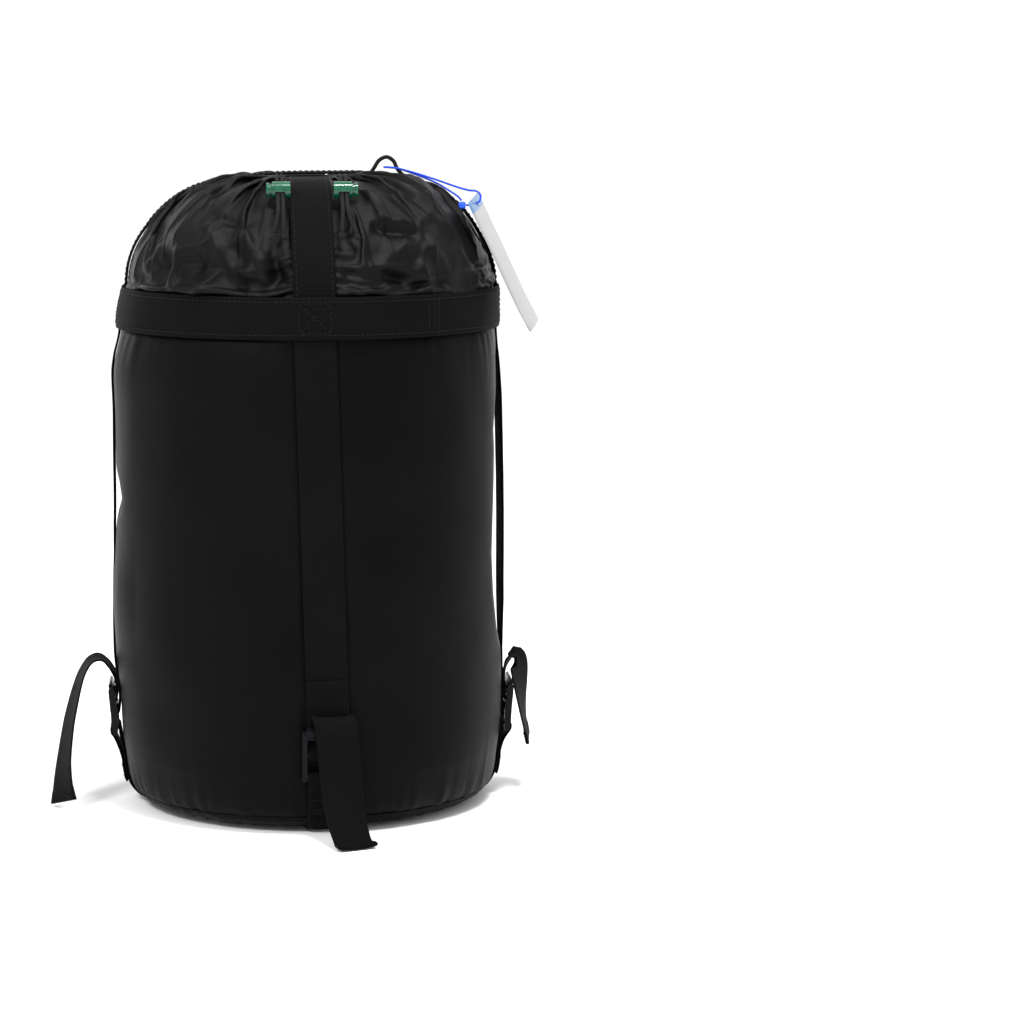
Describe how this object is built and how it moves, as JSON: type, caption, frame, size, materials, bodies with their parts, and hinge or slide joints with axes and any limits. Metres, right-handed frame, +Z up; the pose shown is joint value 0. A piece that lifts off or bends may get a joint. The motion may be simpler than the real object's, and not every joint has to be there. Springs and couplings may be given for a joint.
{
  "type": "compression sack",
  "caption": "Black nylon compression sack packed full: a round-ended fabric tube with a webbing lid harness, side straps in ladder-lock buckles, a drawcord mouth and a hang tag.",
  "frame": {"origin": "on the floor, at the middle of the base, under the crossing of the base straps", "axes": "+Z up through the mouth, -Y the front (the side with the front strap and both cord locks), +X the side with the hang tag"},
  "size_m": [0.3134, 0.3234, 0.405],
  "materials": {
    "nylon": "coated nylon taffeta, soft sheen",
    "packed_load": "quilted bedding, unseen",
    "webbing": "matt ribbed webbing",
    "buckle_plastic": "moulded acetal, satin gloss",
    "drawcord": "braided cord",
    "cord_lock_plastic": "clear green, glossy",
    "tag_card": "coated card",
    "tag_string": "smooth string",
    "tag_seal": "moulded plastic"
  },
  "bodies": {
    "sack": {"base_panel": "nylon", "base_seam_tape": "nylon", "body_panel": "nylon", "packed_load": "packed_load", "base_strap_front_back": "webbing", "base_strap_left_right": "webbing", "compression_strap_front": "webbing", "compression_strap_right": "webbing", "compression_strap_back": "webbing", "compression_strap_left": "webbing"},
    "lid": {"lid_band": "webbing", "top_strap_front_back": "webbing", "top_strap_left_right": "webbing", "crown_fabric": "nylon", "neck_hem": "nylon", "drawcord_hem_run": "drawcord", "drawcord_right_inner": "drawcord", "drawcord_right_outer": "drawcord", "drawcord_left_inner": "drawcord", "drawcord_left_outer": "drawcord", "drawcord_knots": "drawcord", "mouth_pull_loop": "drawcord", "hang_tag_string": "tag_string", "hang_tag_seal": "tag_seal"},
    "lock_front": {"ladder_lock_front": "buckle_plastic", "strap_wrap_front": "webbing"},
    "tail_front": {"strap_tail_front": "webbing"},
    "lock_right": {"ladder_lock_right": "buckle_plastic", "strap_wrap_right": "webbing"},
    "tail_right": {"strap_tail_right": "webbing"},
    "lock_back": {"ladder_lock_back": "buckle_plastic", "strap_wrap_back": "webbing"},
    "tail_back": {"strap_tail_back": "webbing"},
    "lock_left": {"ladder_lock_left": "buckle_plastic", "strap_wrap_left": "webbing"},
    "tail_left": {"strap_tail_left": "webbing"},
    "cord_lock_right": {"cord_lock_right_barrel": "cord_lock_plastic"},
    "cord_button_right": {"cord_lock_right_button": "cord_lock_plastic"},
    "cord_lock_left": {"cord_lock_left_barrel": "cord_lock_plastic"},
    "cord_button_left": {"cord_lock_left_button": "cord_lock_plastic"},
    "hang_tag": {"hang_tag_card": "tag_card"}
  },
  "joints": [
    {"name": "compress", "type": "slide", "parent": "sack", "child": "lid", "axis": [0, 0, -1], "range_m": [0, 0.13], "deforming": ["body_panel", "packed_load", "compression_strap_front", "compression_strap_right", "compression_strap_back", "compression_strap_left"]},
    {"name": "tilt_front", "type": "hinge", "parent": "sack", "child": "lock_front", "pos_m": [0.00625, -0.11924, 0.037], "axis": [0.9986, 0.0523, 0], "range_deg": [0, 20]},
    {"name": "hang_front", "type": "hinge", "parent": "lock_front", "child": "tail_front", "pos_m": [0.00618, -0.11794, 0.0652], "axis": [0.9986, 0.0523, 0], "range_deg": [-27, 0]},
    {"name": "tilt_right", "type": "hinge", "parent": "sack", "child": "lock_right", "pos_m": [0.1234, 0, 0.044], "axis": [0, 1, 0], "range_deg": [0, 20]},
    {"name": "hang_right", "type": "hinge", "parent": "lock_right", "child": "tail_right", "pos_m": [0.1221, 0, 0.0722], "axis": [0, 1, 0], "range_deg": [-27, 0]},
    {"name": "tilt_back", "type": "hinge", "parent": "sack", "child": "lock_back", "pos_m": [-0.00625, 0.11924, 0.04], "axis": [-0.9986, -0.0523, 0], "range_deg": [0, 20]},
    {"name": "hang_back", "type": "hinge", "parent": "lock_back", "child": "tail_back", "pos_m": [-0.00618, 0.11794, 0.0682], "axis": [-0.9986, -0.0523, 0], "range_deg": [-27, 0]},
    {"name": "tilt_left", "type": "hinge", "parent": "sack", "child": "lock_left", "pos_m": [-0.1234, 0, 0.046], "axis": [0, -1, 0], "range_deg": [0, 20]},
    {"name": "hang_left", "type": "hinge", "parent": "lock_left", "child": "tail_left", "pos_m": [-0.1221, 0, 0.0742], "axis": [0, -1, 0], "range_deg": [-27, 0]},
    {"name": "cord_lock_slide_right", "type": "slide", "parent": "lid", "child": "cord_lock_right", "axis": [0, -0.8499, -0.527], "range_m": [-0.008, 0.012]},
    {"name": "cord_button_press_right", "type": "slide", "parent": "cord_lock_right", "child": "cord_button_right", "axis": [-1, 0, 0], "range_m": [0, 0.0015], "stiffness_N_per_m": 500, "springref_m": -0.001},
    {"name": "cord_lock_slide_left", "type": "slide", "parent": "lid", "child": "cord_lock_left", "axis": [0, -0.8499, -0.527], "range_m": [-0.008, 0.012]},
    {"name": "cord_button_press_left", "type": "slide", "parent": "cord_lock_left", "child": "cord_button_left", "axis": [1, 0, 0], "range_m": [0, 0.0015], "stiffness_N_per_m": 500, "springref_m": -0.001},
    {"name": "tag_swing", "type": "hinge", "parent": "lid", "child": "hang_tag", "pos_m": [0.1025, -0.0275, 0.3744], "axis": [0, -1, 0], "range_deg": [0, 40]}
  ],
  "couplings": [
    {"joint": "hang_front", "follows": "tilt_front", "ratio": -1.15},
    {"joint": "hang_right", "follows": "tilt_right", "ratio": -1.15},
    {"joint": "hang_back", "follows": "tilt_back", "ratio": -1.15},
    {"joint": "hang_left", "follows": "tilt_left", "ratio": -1.15}
  ]
}
